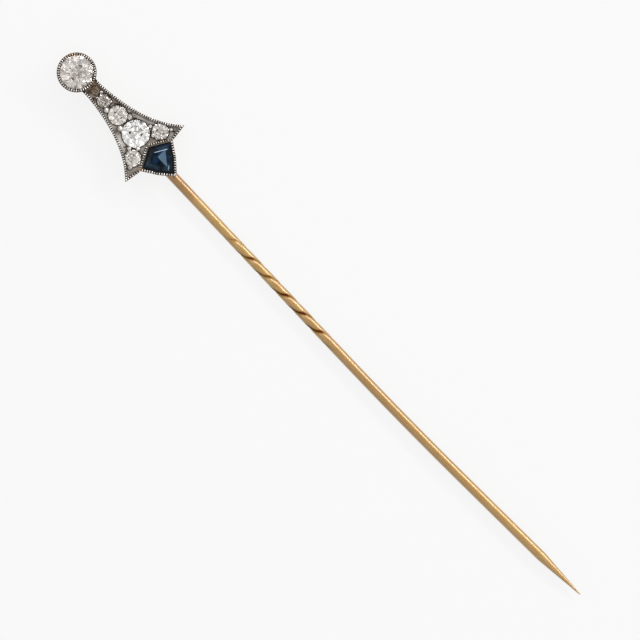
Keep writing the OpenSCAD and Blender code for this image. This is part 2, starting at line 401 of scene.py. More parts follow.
tones = {
    "metal": (0.40, 0.365, 0.335),
    "metalWorn": (0.68, 0.635, 0.595),
    "metalDull": (0.20, 0.168, 0.145),
    # near black, for dirt and painted shade where parts meet
    "grime": (0.014, 0.009, 0.006),
    "stain": (0.10, 0.048, 0.020),
    "goldTint": (0.42, 0.28, 0.10),
    "bead": (0.86, 0.81, 0.76),
    "beadGilt": (0.34, 0.20, 0.08),
    "gold": (0.40, 0.220, 0.039),
    "goldPale": (0.46, 0.290, 0.084),
    "goldRed": (0.26, 0.11, 0.02),
    # red-brown, for dirt and painted shade in hollows of the gold
    "groove": (0.10, 0.018, 0.005),
}

# every pattern of noise has its scale, detail and roughness, and some a distortion
whiteMetalLook = {
    "cloudy": (1.1, 3.0, 0.55),
    "brushed": (16.0, 3.0, 0.65),
    "fine": (22.0, 2.0, 0.6),
    "drawnOut": (0.35, 1.0, 1.0),  # the brushed pattern runs along the head
    "dullness": 0.55,
    "dullSway": (1.6, 0.9),  # how much the cloudy and the brushed pattern change the dullness
    "dirt": (1.2, 0.9),  # how strong the dirt and painted shade are, and how much the fine pattern breaks them up
    "roughness": 0.26,
    "rougher": {"dull": 0.12, "dirt": 0.35, "brushed": 0.15},
    "lessMetal": {"dirt": 0.9, "stain": 0.35},
    "relief": (0.6, 0.4),  # shares of the brushed and the fine pattern
    "reliefDepth": 0.02,
}


def whiteMetalFinish(look):
    work = Finish("wornWhiteMetal", {"Metallic": 1.0, "Specular IOR Level": 0.1})
    cloudy = work.noise(work.place, *look["cloudy"])
    brushed = work.noise(work.scaled(work.place, look["drawnOut"]), *look["brushed"])
    fine = work.noise(work.place, *look["fine"])
    stain, light = work.attribute("stain"), work.attribute("light")
    byCloud, byBrush = look["dullSway"]
    dull = work.clip(sway(cloudy, byCloud) + sway(brushed, byBrush) + look["dullness"] - light)
    # dirt and painted shade where parts meet darken and dull the metal
    dirt = work.uneven("grime", fine, *look["dirt"])
    tone = work.blend(dull, tones["metal"], tones["metalDull"])
    tone = work.blend(work.clip(light), tone, tones["metalWorn"])
    tone = work.blend(work.attribute("gilt"), tone, tones["goldTint"])
    tone = work.blend(stain, tone, tones["stain"])
    tone = work.blend(dirt, tone, tones["grime"])
    rougher, lessMetal = look["rougher"], look["lessMetal"]
    work.give(Base_Color=tone,
              Roughness=look["roughness"] + dull * rougher["dull"] + dirt * rougher["dirt"]
              + sway(brushed, rougher["brushed"]),
              Metallic=1.0 - work.clip(dirt * lessMetal["dirt"] + stain * lessMetal["stain"]))
    brushedShare, fineShare = look["relief"]
    work.bump(brushed * brushedShare + fine * fineShare, look["reliefDepth"])
    return work.material


beadLook = {
    "cloudy": (2.2, 2.0, 0.5),
    "fine": (30.0, 2.0, 0.6),
    "dullPatches": (0.4, 0.7),  # where the cloudy pattern turns from polished to dull
    "dirt": (1.0, 0.8),
    "roughness": 0.26,
    "rougher": {"dirt": 0.4, "fine": 0.12},
    "lessMetal": 0.85,
    "reliefDepth": 0.004,
}


def beadFinish(look):
    work = Finish("polishedBeads", {"Metallic": 1.0, "Specular IOR Level": 0.1})
    cloudy = work.noise(work.place, *look["cloudy"])
    fine = work.noise(work.place, *look["fine"])
    # dirt and painted shade at the foot of each bead and grain
    dirt = work.uneven("low", fine, *look["dirt"])
    tone = work.blend(work.smooth(cloudy, *look["dullPatches"]), tones["bead"], tones["metal"])
    tone = work.blend(work.attribute("gilt"), tone, tones["beadGilt"])
    tone = work.blend(dirt, tone, tones["grime"])
    rougher = look["rougher"]
    work.give(Base_Color=tone,
              Roughness=look["roughness"] + dirt * rougher["dirt"] + fine * rougher["fine"],
              Metallic=1.0 - dirt * look["lessMetal"])
    work.bump(fine, look["reliefDepth"])
    return work.material


goldLook = {
    # a rough base under a polished coat
    "shader": {"Metallic": 1.0, "Coat Weight": 1.0, "Coat Roughness": 0.19, "Coat IOR": 1.85,
               "Specular IOR Level": 0.1},
    "cloudy": (0.8, 3.0, 0.6),
    "drawn": (12.0, 3.0, 0.6),
    "fine": (18.0, 2.0, 0.6),
    "drawnOut": (0.06, 1.0, 1.0),  # the drawn pattern runs along the wire
    "palePatches": (0.5, 0.3, 0.75),  # sway of the drawn pattern, and where the gold turns pale
    "red": (0.8, 1.2),
    "dirt": (1.5, 0.7),
    "roughness": 0.56,
    "cloudFrom": 0.35,  # the cloudy pattern roughens the gold only past this
    "rougher": {"cloudy": 0.2, "drawn": 0.1, "dirt": 0.3},
    "lessCoat": 2.5,
    "lessMetal": 1.2,
    "reliefDepth": 0.002,
}


def goldFinish(look):
    work = Finish("wornGold", look["shader"])
    cloudy = work.noise(work.place, *look["cloudy"])
    drawn = work.noise(work.scaled(work.place, look["drawnOut"]), *look["drawn"])
    fine = work.noise(work.place, *look["fine"])
    paleSway, paleFrom, paleTo = look["palePatches"]
    pale = work.smooth(cloudy + sway(drawn, paleSway), paleFrom, paleTo)
    red = work.uneven("red", cloudy, *look["red"])
    # dirt and painted shade in the hollows, near black on the shaft's side turned from the key
    # light
    dirt = work.uneven("groove", fine, *look["dirt"])
    hollowTone = work.blend(work.attribute("black"), tones["groove"], tones["grime"])
    tone = work.blend(pale, tones["gold"], tones["goldPale"])
    tone = work.blend(red, tone, tones["goldRed"])
    tone = work.blend(dirt, tone, hollowTone)
    rougher = look["rougher"]
    clouded = work.clip(cloudy - look["cloudFrom"])
    work.give(Base_Color=tone,
              Roughness=look["roughness"] + clouded * rougher["cloudy"]
              + sway(drawn, rougher["drawn"]) + dirt * rougher["dirt"],
              Coat_Weight=work.clip(1.0 - dirt * look["lessCoat"]),
              Metallic=work.clip(1.0 - dirt * look["lessMetal"]))
    work.bump(drawn, look["reliefDepth"])
    return work.material


whiteMetal = whiteMetalFinish(whiteMetalLook)
beadMetal = beadFinish(beadLook)
gold = goldFinish(goldLook)
print("metal finishes are made")


# White metal setting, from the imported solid, its edges softened and its face worn

settingSettings = {
    "voxel": 0.05,
    "smoothing": 3,
    "smoothFactor": 0.5,
    "faceBand": (0.15, 0.1),  # marks begin this far under the face and are full this much higher
    "rowBand": (0.15, 0.08),  # the same under the middle of a row of beads
    "smallStone": 0.5,  # stones under this radius have a weaker dark ring of dirt and painted shade
    "ringAtNeck": 0.4,
    "underStone": 0.35,  # dirt and painted shade in a stone's seat
    "stoneGap": 0.02,
    "grimeReach": 0.09,  # how far the dark line of dirt and painted shade round a stone reaches
    "kiteReach": 0.06,
    "rowReach": 0.135,  # half the width of the dark band under a row of beads, painted shade between the beads
    # lines of dirt and painted shade round the grains and inside the rims: how far off, reach and
    # strength
    "grainLine": (0.03, 0.05, 0.9),
    "rimLine": (0.02, 0.05, 0.55),
    "lowDirt": (1.25, 0.25, 0.6),  # from this height down, over this drop, and how strong
    "stainFrom": 1.7,  # stains lie only above this height
    "giltFrom": (1.6, 0.25),  # gilding begins at this height and is full this much higher
    "toolMark": 0.012,  # depth of uneven tool marks
    "toolWaves": ((9.1, 2.0, 5.3), (11.7, 1.0, 7.7)),  # pace, bend and the bend's own pace
    "cutDepth": 0.05,
    # graver cuts, each from one place to another, with its width
    "cuts": [
        ((4.30, 0.05), (4.55, -0.05), 0.10), ((4.72, -0.62), (4.78, -0.20), 0.07),
        ((4.55, 0.50), (4.95, 0.86), 0.08), ((6.10, 0.84), (6.30, 1.06), 0.10),
        ((6.78, 0.86), (6.95, 1.03), 0.09), ((6.55, -1.02), (6.95, -0.80), 0.09),
        ((6.88, -1.25), (6.90, -0.75), 0.04), ((8.12, -1.68), (8.30, -1.32), 0.09),
        ((8.42, -1.80), (8.26, -1.28), 0.05), ((8.62, -1.22), (8.92, -0.98), 0.08),
        ((8.45, 1.66), (8.55, 1.86), 0.07), ((8.95, 1.12), (8.82, 1.32), 0.10),
        ((9.66, -2.92), (9.94, -2.66), 0.11), ((10.15, 2.60), (10.32, 2.76), 0.10),
        ((9.80, 2.74), (10.14, 2.80), 0.05), ((8.06, 1.28), (8.28, 1.36), 0.06),
    ],
    # places, radii and strengths of brown stains, of gold that shows through, and of brighter or
    # duller metal
    "stains": [((2.02, 0.18), 0.34, 1.0), ((2.05, -0.40), 0.32, 0.8), ((4.50, 0.75), 0.34, 0.55),
               ((2.95, -0.62), 0.28, 0.5), ((9.3, 0.85), 0.28, 0.4)],
    "gilt": [((10.78, -1.96), 0.24, 0.95), ((-1.72, 0.40), 0.36, 0.7), ((-1.35, 1.25), 0.4, 0.7),
             ((-0.30, 1.72), 0.22, 0.45), ((1.92, 0.75), 0.24, 0.8), ((12.95, -0.42), 0.2, 0.5)],
    "light": [((7.5, -1.55), 0.6, 1.0), ((7.2, 1.5), 0.5, 0.35), ((8.1, 1.95), 0.4, 0.3),
              ((8.4, -1.4), 0.3, 0.8), ((9.15, -0.62), 0.3, 0.35), ((5.6, -1.15), 0.5, 0.25),
              ((8.6, 1.5), 0.25, 0.5), ((5.9, 1.12), 0.4, 0.35), ((9.4, 2.6), 0.35, 0.3)],
    "dark": [((10.2, -3.1), 0.5, 0.3), ((10.2, 2.95), 0.45, 0.3), ((2.15, -0.5), 0.3, 0.7),
             ((2.2, 0.5), 0.32, 0.3), ((2.85, -0.6), 0.24, 0.85), ((3.1, -0.68), 0.25, 0.6),
             ((2.85, 0.55), 0.2, 0.6), ((2.6, 0.0), 0.75, 0.45), ((6.5, -1.3), 0.35, 0.6),
             ((9.75, 0.0), 0.3, 0.5), ((4.6, 0.75), 0.35, 0.15), ((3.6, 0.8), 0.25, 0.35),
             ((4.5, -0.85), 0.25, 0.3), ((9.55, -0.75), 0.25, 0.3)],
}

# grains that hold the stones
grainSettings = {
    # place along the head, place across it, and radius
    "places": [
        (2.93, 0.38, 0.16), (3.06, -0.30, 0.12), (4.19, 0.42, 0.14), (4.46, -0.46, 0.25),
        (6.42, 0.68, 0.27), (6.60, -0.72, 0.27), (8.40, 1.46, 0.19), (9.23, 1.06, 0.19),
        (8.53, -1.40, 0.22), (9.13, -0.82, 0.21), (9.98, 2.66, 0.18), (9.88, -2.58, 0.21),
    ],
    "dull": [((9.88, -2.58), 0.4, 0.6)],  # places where grains are dull, with radius and strength
    "swell": 1.06,
    "dirtBand": 0.05,  # height of the dirt and painted shade round a grain's foot
    "leastDirt": 0.22,
    "tree": {"Squash": 1.0, "Wobble": 0.09, "Waves": 5.0, "Segments": 20, "Rings": 12},
}

beadSettings = {
    "tree": {"Pitch": 0.222, "Radius": 0.134,
             "Narrow": 0.62,  # a bead's size along the row, as a share of its size across it
             "Spread": 0.12,  # how much beads differ in size
             "Seed": 4, "Segments": 10, "Rings": 6},
    "rowInset": 0.105,  # from the outline to the middle of the row
    "sunk": 0.045,  # how far a bead's middle lies under the rim's top
    "colletRow": 1.72,
    "colletSteps": 97,
    "kiteRow": 0.14,  # from the kite stone's edge to the row below it
    "veeRow": 0.24,  # from the kite stone's edge to the row above it
    # how far the short rows stop before their corners, along the head and across it
    "tipGap": 2.2,  # in insets
    "shoulderGap": 0.1,
    "veeGaps": ((0.10, 0.17), (0.20, 0.36)),
    "kiteGaps": ((0.12, 0.10), (0.10, 0.07)),
    "dirtBand": 0.03,  # height of the dirt and painted shade between beads
    "colletReach": 0.02,
    # places where beads are browned, with radius and strength
    "gilt": [((-1.62, 0.62), 0.45, 0.8), ((-1.2, 1.22), 0.42, 0.75), ((1.70, 0.35), 0.5, 0.6),
             ((9.95, 0.55), 0.5, 0.5), ((10.45, 1.45), 0.45, 0.6), ((10.55, -2.3), 0.3, 0.5)],
}


def beadRows(values):
    inset = values["rowInset"]
    high = head["railTop"] - values["sunk"]
    (tipX, tipY), (endX, endY) = head["wingTip"], head["shoulder"]
    wing = [(tipX - inset, tipY - values["tipGap"] * inset),
            (endX - inset, endY - values["shoulderGap"])]
    (nearX, nearY), (outX, outY) = values["veeGaps"]
    vee = kiteLine(values["veeRow"])
    veeLine = [(vee[0].x + nearX, nearY), (vee[1].x - outX, vee[1].y - outY)]
    (sideX, sideY), (farX, farY) = values["kiteGaps"]
    kite = kiteLine(values["kiteRow"])
    kiteFar = [(kite[1].x + sideX, kite[1].y - sideY), kite[2], (kite[3].x - farX, farY)]
    rows = []
    for side in (-1, 1):
        rows.append([(x, y, high) for x, y in flareLine(side, inset)])
        rows += [[(x, side * y, high) for x, y in line] for line in (wing, veeLine, kiteFar)]
    ringR, ringHigh = values["colletRow"], head["colletTop"] - values["sunk"]
    turns = np.linspace(0, 2 * math.pi, values["colletSteps"])
    rows.append([(ringR * math.cos(a), ringR * math.sin(a), ringHigh) for a in turns])
    return rows


def toolMarks(xy, waves):  # a faint uneven swell over the face
    def wave(a, b, pace, bend, bendPace):
        return np.sin(a * pace + bend * np.sin(b * bendPace))

    x, y = xy.T
    return wave(x, y, *waves[0]) * wave(y, x, *waves[1])


def settingDirtAndShade(co, upward, values):  # dirt and painted shade where things meet, from 0 to 1
    xy = co[:, :2]
    grime = np.zeros(len(co))
    for x, y, radius in roundStones:
        strength = values["ringAtNeck"] if radius < values["smallStone"] else 1.0
        away = fromRing(xy, x, y, radius, values["stoneGap"])
        grime = np.maximum(grime, strength * fadeOut(away, values["grimeReach"]))
        inside = np.linalg.norm(xy - (x, y), axis=1) < radius
        grime[inside] = np.maximum(grime[inside], values["underStone"])
    kite = kiteLine(values["stoneGap"])
    away = fromLine(xy, [*kite, kite[0]])
    grime = np.maximum(grime, fadeOut(away, values["kiteReach"]))
    gap, reach, strength = values["grainLine"]
    for x, y, radius in grainSettings["places"]:
        away = fromRing(xy, x, y, radius, gap)
        grime = np.maximum(grime, strength * fadeOut(away, reach) * upward)
    below, rise = values["rowBand"]
    for row in beadRows(beadSettings):
        away = fromLine(xy, [p[:2] for p in row])
        atRow = np.clip((co[:, 2] - row[0][2] + below) / rise, 0, 1)
        grime = np.maximum(grime, np.exp(-(away / values["rowReach"]) ** 4) * atRow)
    gap, reach, strength = values["rimLine"]
    for side in (-1, 1):
        away = fromLine(xy, flareLine(side, head["railWidth"] + gap))
        grime = np.maximum(grime, strength * fadeOut(away, reach) * upward)
    # the side of the plate is darker low down, against the gold
    top, drop, strength = values["lowDirt"]
    grime = np.maximum(grime, np.clip((top - co[:, 2]) / drop, 0, 1) * strength)
    return np.maximum(grime, spots(xy, values["dark"]) * upward)


def makeSetting(values):
    piece = cadCopy("setting", "settingBody")
    remesh = piece.modifiers.new("remesh", "REMESH")
    remesh.mode = "VOXEL"
    remesh.voxel_size = values["voxel"]
    relax = piece.modifiers.new("relax", "SMOOTH")
    relax.factor = values["smoothFactor"]
    relax.iterations = values["smoothing"]
    settle(piece)
    co = corners(piece)
    xy, z = co[:, :2], co[:, 2]
    below, rise = values["faceBand"]
    upward = np.clip((z - head["faceTop"] + below) / rise, 0, 1)
    cut = np.zeros(len(co))
    for start, end, width in values["cuts"]:
        cut = np.maximum(cut, fadeOut(fromLine(xy, [start, end]), width) * upward)
    giltFrom, giltRise = values["giltFrom"]
    # dirt and painted shade where things meet and in the graver cuts
    mark(piece, "grime", np.clip(np.maximum(settingDirtAndShade(co, upward, values), cut), 0, 1))
    mark(piece, "stain", spots(xy, values["stains"]) * (z > values["stainFrom"]))
    mark(piece, "gilt", spots(xy, values["gilt"]) * np.clip((z - giltFrom) / giltRise, 0, 1))
    mark(piece, "light", spots(xy, values["light"]) * upward)
    uneven = toolMarks(xy, values["toolWaves"])
    co[:, 2] += (values["toolMark"] * uneven - values["cutDepth"] * cut) * upward
    piece.data.vertices.foreach_set("co", co.ravel())
    shadeSmooth(piece)
    giveFinish(piece, whiteMetal)
    toFrame(piece)
    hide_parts("setting")
    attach(piece, "root")
    print("setting has", len(piece.data.polygons), "faces")


makeSetting(settingSettings)


# Rows of fine beads along the rims, and the grains

def beadTree(values):
    tree = Shaper("beadsOnPath", values)
    ask = tree.asked
    path = tree.node("GeometryNodeMeshToCurve", None, {"Mesh": ask("Geometry")})
    points = tree.node("GeometryNodeResampleCurve", {"mode": "LENGTH"},
                       {"Curve": path, "Length": ask("Pitch")})
    ball = tree.node("GeometryNodeMeshUVSphere", None,
                     {"Segments": ask("Segments"), "Rings": ask("Rings"), "Radius": ask("Radius")})
    size = tree.node("FunctionNodeRandomValue", {"data_type": "FLOAT"},
                     {2: 1 - ask("Spread"), 3: 1.0, "Seed": ask("Seed")}, output=1)
    turn = tree.node("FunctionNodeAlignRotationToVector", {"axis": "X"},
                     {"Vector": tree.node("GeometryNodeInputTangent")})
    scale = tree.joined(size * ask("Narrow"), size, size)
    beads = tree.node("GeometryNodeInstanceOnPoints", None,
                      {"Points": points, "Instance": ball, "Rotation": turn, "Scale": scale})
    tree.finish(beads)
    return tree


def makeBeads(values):
    points, edges = [], []
    for row in beadRows(values):
        first = len(points)
        points += row
        edges += [(first + i, first + i + 1) for i in range(len(row) - 1)]
    piece = newPiece("milgrainBeads", points, edges)
    beadTree(values["tree"]).grow(piece, values["tree"], beadMetal)
    co = corners(piece)
    onCollet = co[:, 0] < head["colletR"] + values["colletReach"]
    rim = np.where(onCollet, head["colletTop"], head["railTop"])
    # the foot of each bead is darkened: dirt and painted shade between beads
    band = values["dirtBand"]
    mark(piece, "low", np.clip((rim + band - co[:, 2]) / band, 0, 1))
    mark(piece, "gilt", spots(co[:, :2], values["gilt"]))
    toFrame(piece)
    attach(piece, "root")
    print("beads have", len(piece.data.polygons), "faces")


makeBeads(beadSettings)


def grainTree(values):
    tree = Shaper("grainsOnPoints", values)
    ask = tree.asked
    ball = tree.node("GeometryNodeMeshUVSphere", None,
                     {"Segments": ask("Segments"), "Rings": ask("Rings"), "Radius": 1.0})
    size = tree.node("GeometryNodeInputNamedAttribute", {"data_type": "FLOAT"}, {"Name": "size"})
    scale = tree.joined(size, size, size * ask("Squash"))
    made = tree.node("GeometryNodeInstanceOnPoints", None,
                     {"Points": ask("Geometry"), "Instance": ball, "Scale": scale})
    made = tree.node("GeometryNodeRealizeInstances", None, {"Geometry": made})
    place = tree.node("GeometryNodeInputPosition")
    bent = tree.noise(place, ask("Waves"), 1.0, 0.5)["Color"]
    shift = tree.node("ShaderNodeVectorMath", {"operation": "SUBTRACT"}, {0: bent, 1: (0.5,) * 3})
    shift = tree.node("ShaderNodeVectorMath", {"operation": "SCALE"},
                      {0: shift, "Scale": ask("Wobble")})
    made = tree.node("GeometryNodeSetPosition", None, {"Geometry": made, "Offset": shift})
    tree.finish(made)
    return tree


def makeGrains(values):
    places = values["places"]
    piece = newPiece("grainHeads", [(x, y, head["faceTop"]) for x, y, _ in places])
    mark(piece, "size", [radius * values["swell"] for _, _, radius in places])
    grainTree(values["tree"]).grow(piece, values["tree"], beadMetal)
    co = corners(piece)
    # the foot of each grain is darkened, dirt and painted shade where it meets the plate; the rest
    # a little darker too
    band = values["dirtBand"]
    low = np.clip((head["faceTop"] + band - co[:, 2]) / band, values["leastDirt"], 1)
    mark(piece, "low", np.maximum(low, spots(co[:, :2], values["dull"])))
    toFrame(piece)
    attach(piece, "root")
    print("grains have", len(piece.data.polygons), "faces")


makeGrains(grainSettings)


# Gold back of the head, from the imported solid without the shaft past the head

backSettings = {
    "cutX": 13.285,
    "flatAngle": 1.0,  # degrees, within which faces count as one flat face
    "bevel": 0.05,
    "segments": 3,
    "sharpAngle": 35.0,
    "longest": 0.2,  # of an edge, once the flat faces are cut up
    "rounds": 8,
    "ringShare": 0.6,  # of a stone's radius, where its opening is darkest
    "ringReach": 0.12,
    "ringDirt": 0.35,
    "seam": (0.955, 0.04, 0.4),  # dirt and painted shade under the white metal: from this height, rise and strength
    "red": 0.15,
}


def makeBack(values):
    def trim(work):  # cuts the shaft off, closes the cut and makes each flat side one face
        kept = work.verts[:] + work.edges[:] + work.faces[:]
        bmesh.ops.bisect_plane(work, geom=kept, plane_co=(values["cutX"], 0, 0),
                               plane_no=(1, 0, 0), clear_outer=True)
        rim = [edge for edge in work.edges if edge.is_boundary]
        bmesh.ops.holes_fill(work, edges=rim, sides=0)
        turnFacesOut(work)
        bmesh.ops.dissolve_limit(work, angle_limit=math.radians(values["flatAngle"]),
                                 verts=work.verts, edges=work.edges)

    def divide(work):  # cuts flat faces up, so that marks on them stay where they belong
        for _ in range(values["rounds"]):
            bmesh.ops.triangulate(work, faces=work.faces)
            long = [edge for edge in work.edges if edge.calc_length() > values["longest"]]
            if not long:
                break
            bmesh.ops.subdivide_edges(work, edges=long, cuts=1)

    piece = cadCopy("pin", "goldBack")
    rework(piece.data, trim)
    bevel = piece.modifiers.new("bevel", "BEVEL")
    bevel.width = values["bevel"]
    bevel.segments = values["segments"]
    bevel.angle_limit = math.radians(values["sharpAngle"])
    settle(piece)
    rework(piece.data, divide)
    co = corners(piece)
    # darker rings in the stones' openings and a darker seam under the white metal, dirt and painted
    # shade
    groove = np.zeros(len(co))
    for x, y, radius in roundStones:
        away = fromRing(co[:, :2], x, y, radius * values["ringShare"])
        groove = np.maximum(groove, values["ringDirt"] * fadeOut(away, values["ringReach"]))
    seamFrom, seamRise, seamDark = values["seam"]
    groove = np.maximum(groove, np.clip((co[:, 2] - seamFrom) / seamRise, 0, 1) * seamDark)
    mark(piece, "groove", groove)
    mark(piece, "red", np.full(len(co), values["red"]))
    shadeSmooth(piece)
    giveFinish(piece, gold)
    toFrame(piece)
    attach(piece, "root")
    print("back has", len(piece.data.polygons), "faces")
    return piece


goldBack = makeBack(backSettings)


# Gold shaft: plain, then twisted, bowed and pointed

shaftSettings = {
    "Radius": 0.48,
    "Root X": 9.36,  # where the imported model's shaft starts, inside the head
    "Root Y": -0.20509,
    "Centre Z": 0.49,
    "Start": 3.40,  # this piece starts a little inside the head's tip
    "Lean": 0.5,
    "Bow": 2.08,
    "Bow X": 36.0,
    "Bow Radius": 465.0,
    "Point X": 68.0,
    "Taper": 5.05,
    "Point Radius": 0.05,
    "Twist X": 18.3,
    "Turn": 4.72,
    "Groove X": 23.85,
    "Cut Depth": 0.03,
    "Cut Half": 6.0,
    "Cut Shift": 3.0,
    "Shoulder Depth": 0.12,
    "Wide Side": 34.0,
    "Steep Side": 13.0,
    "Swing": 13.0,
    "Fade In": 5.2,
    "Fade Out": 3.6,
    # the dark band along each groove, dirt and painted shade
    "Dark Half": 16.0,
    "Dark Shift": 3.0,
    "Shaded Widening": 15.0,  # degrees wider, and turned further, on the painted shaded side, away from the key light
    "Shaded Turning": 17.0,
    "Shaded From": -0.2,  # sines of the angles between which painted shade grows, on the side away from the key light
    "Shaded To": -0.95,
    "Lit From": 0.25,  # and between which light falls into the grooves, thinning their painted shade
    "Lit To": 0.7,
    "Lit Share": 0.75,
    "Crowding": 0.42,  # how much closer points stand near the grooves
    "Joined Within": 0.0008,
    "Rings": 520,
    "Sides": 72,
}

# how dark the grooves are along the shaft, by place in mm
grooveDarkness = [(19.0, 0.15), (22.5, 0.4), (23.9, 0.8), (25.2, 0.75), (26.2, 0.5), (27.2, 0.75),
              (28.5, 1.0), (33.5, 1.0), (36.0, 0.8)]
# how red the gold is, in the same way; next to the head the darker red also stands in for the kite
# tip's shadow, a painted shadow
redPlaces = [(13.3, 0.85), (15.5, 0.7), (16.4, 0.1), (27.5, 0.05), (32.0, 0.25), (40.0, 0.42),
             (50.0, 0.3), (58.0, 0.1)]


def shaftTree(values):
    tree = Shaper("twistedShaft", values)
    ask, calc = tree.asked, tree.calc

    def turnOf(label):
        return ask(label) * degree

    def dent(away, half):  # deepest at no distance, in radians, with half its width in degrees
        share = away / (half * degree)
        return calc("EXPONENT", -(share * share))

    lean, bow = turnOf("Lean"), turnOf("Bow")
    turned = bow - lean
    cosLean, sinLean = calc("COSINE", lean), calc("SINE", lean)
    rootX, bowR, endR = ask("Root X"), ask("Bow Radius"), ask("Point Radius")
    twistAt = (ask("Twist X") - rootX) / cosLean
    bowAt = (ask("Bow X") - rootX) / cosLean
    bowRun = bowR * bow
    bowEndX = ask("Bow X") + bowR * (sinLean + calc("SINE", turned))
    total = bowAt + bowRun + (ask("Point X") - bowEndX) / calc("COSINE", turned)
    taperAt = total - ask("Taper") - endR
    grid = tree.node("GeometryNodeMeshGrid", None, {"Size X": 1.0, "Size Y": 1.0,
                     "Vertices X": ask("Rings"), "Vertices Y": ask("Sides")})
    parts = tree.split(tree.node("GeometryNodeInputPosition"))
    share, around = parts["X"] + 0.5, parts["Y"] + 0.5
    s = ask("Start") + share * (total - ask("Start"))
    # angle from the nearer groove, with more points near the grooves
    a = around * (2 * math.pi)
    a = a - ask("Crowding") * calc("SINE", a * 2.0)
    near = calc("ARCTANGENT", calc("TANGENT", a))
    # a narrow cut in a wide dent that is steeper on one side, along the twist only
    cut = dent(near - turnOf("Cut Shift"), ask("Cut Half"))
    steep = calc("GREATER_THAN", near, 0.0)
    shoulder = dent(near, ask("Wide Side") + steep * (ask("Steep Side") - ask("Wide Side")))
    fade = tree.smooth(s, twistAt, twistAt + ask("Fade In")) \
        * (1 - tree.smooth(s, bowAt - ask("Fade Out"), bowAt))
    spin = calc("MINIMUM", calc("MAXIMUM", s, twistAt), bowAt) - twistAt
    grooveAt = (ask("Groove X") - ask("Twist X")) / cosLean
    even = a + (spin - grooveAt) * (2 * math.pi) / ask("Turn")
    angle = even + turnOf("Swing") * calc("SINE", even * 2.0)
    body = ask("Radius") - fade * (ask("Cut Depth") * cut + ask("Shoulder Depth") * shoulder)
    # the taper, its blunt end rounded, and both ends closed
    along = calc("MAXIMUM", (s - taperAt) / ask("Taper"), 0.0)
    slim = 1 - calc("MINIMUM", along, 1.0) * (1 - endR / ask("Radius"))
    past = calc("MAXIMUM", (s - taperAt - ask("Taper")) / endR, 0.0)
    blunt = calc("SQRT", calc("MAXIMUM", 1 - past * past, 0.0))
    first = calc("GREATER_THAN", share, 0.0001)
    last = calc("LESS_THAN", share, 0.9999)
    r = body * slim * blunt * first * last
    # the middle line: straight, round the bow, straight again
    s1 = calc("MINIMUM", s, bowAt)
    theta = calc("MINIMUM", calc("MAXIMUM", s - bowAt, 0.0) / bowR, bow)
    s3 = calc("MAXIMUM", s - bowAt - bowRun, 0.0)
    heading = theta - lean
    cosHeading, sinHeading = calc("COSINE", heading), calc("SINE", heading)
    cosAngle, sinAngle = calc("COSINE", angle), calc("SINE", angle)
    x = rootX + s1 * cosLean + bowR * (sinHeading + sinLean) + s3 * calc("COSINE", turned)
    y = ask("Root Y") - s1 * sinLean + bowR * (cosLean - cosHeading) + s3 * calc("SINE", turned)
    out = r * sinAngle
    spot = tree.joined(x - out * sinHeading, y + out * cosHeading, ask("Centre Z") + r * cosAngle)
    # dirt and painted shade in the grooves, the painted shade thick on the side away from the key
    # light and thin where light falls in
    shaded = tree.smooth(sinAngle, ask("Shaded From"), ask("Shaded To"))
    darkTurn = (ask("Dark Shift") + shaded * ask("Shaded Turning")) * degree
    dirt = dent(near - darkTurn, ask("Dark Half") + shaded * ask("Shaded Widening"))
    litSide = tree.smooth(sinAngle, ask("Lit From"), ask("Lit To"))
    marks = {"groove": fade * dirt * (1 - litSide * ask("Lit Share")), "black": shaded}
    made = grid
    for name, value in marks.items():
        settings = {"data_type": "FLOAT", "domain": "POINT"}
        made = tree.node("GeometryNodeStoreNamedAttribute", settings,
                         {"Geometry": made, "Name": name, "Value": value})
    made = tree.node("GeometryNodeSetPosition", None, {"Geometry": made, "Position": spot})
    made = tree.node("GeometryNodeMergeByDistance", None,
                     {"Geometry": made, "Distance": ask("Joined Within")})
    tree.finish(made)
    return tree


def makeShaft(values):
    piece = newPiece("pinShaft", [(0.0, 0.0, 0.0)])
    shaftTree(values).grow(piece, values, gold)
    rework(piece.data, turnFacesOut)
    co = corners(piece)
    groove = np.empty(len(co), np.float32)
    dark = piece.data.attributes["groove"].data
    dark.foreach_get("value", groove)
    share = np.interp(co[:, 0], *zip(*grooveDarkness)).astype(np.float32)
    dark.foreach_set("value", groove * share)
    mark(piece, "red", np.interp(co[:, 0], *zip(*redPlaces)))
    toFrame(piece)
    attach(piece, "root")
    print("shaft has", len(piece.data.polygons), "faces")
    return piece


pinShaft = makeShaft(shaftSettings)
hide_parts("pin")
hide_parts("pin")


# Round stones: clear, lightly tinted, with a thin film in patches

anyStone = {  # what a stone has unless its own row says otherwise
    "rough": 0.0,
    "ior": 2.42,
    "cloudy": (2.4, 3.0, 0.6, 0.4),
    "fine": (14.0, 2.0, 0.5),
    "fineShare": 0.3,
    "patches": (0.42, 0.72),  # where the cloudy pattern turns from clear to filmy
    "fall": 0.0,  # how much clearer the stone is towards its right side
    "filmRough": 0.03,
    "waves": (3.5, 2.0, 0.5),
    "wave": 0.003,  # depth of the uneven polish
}

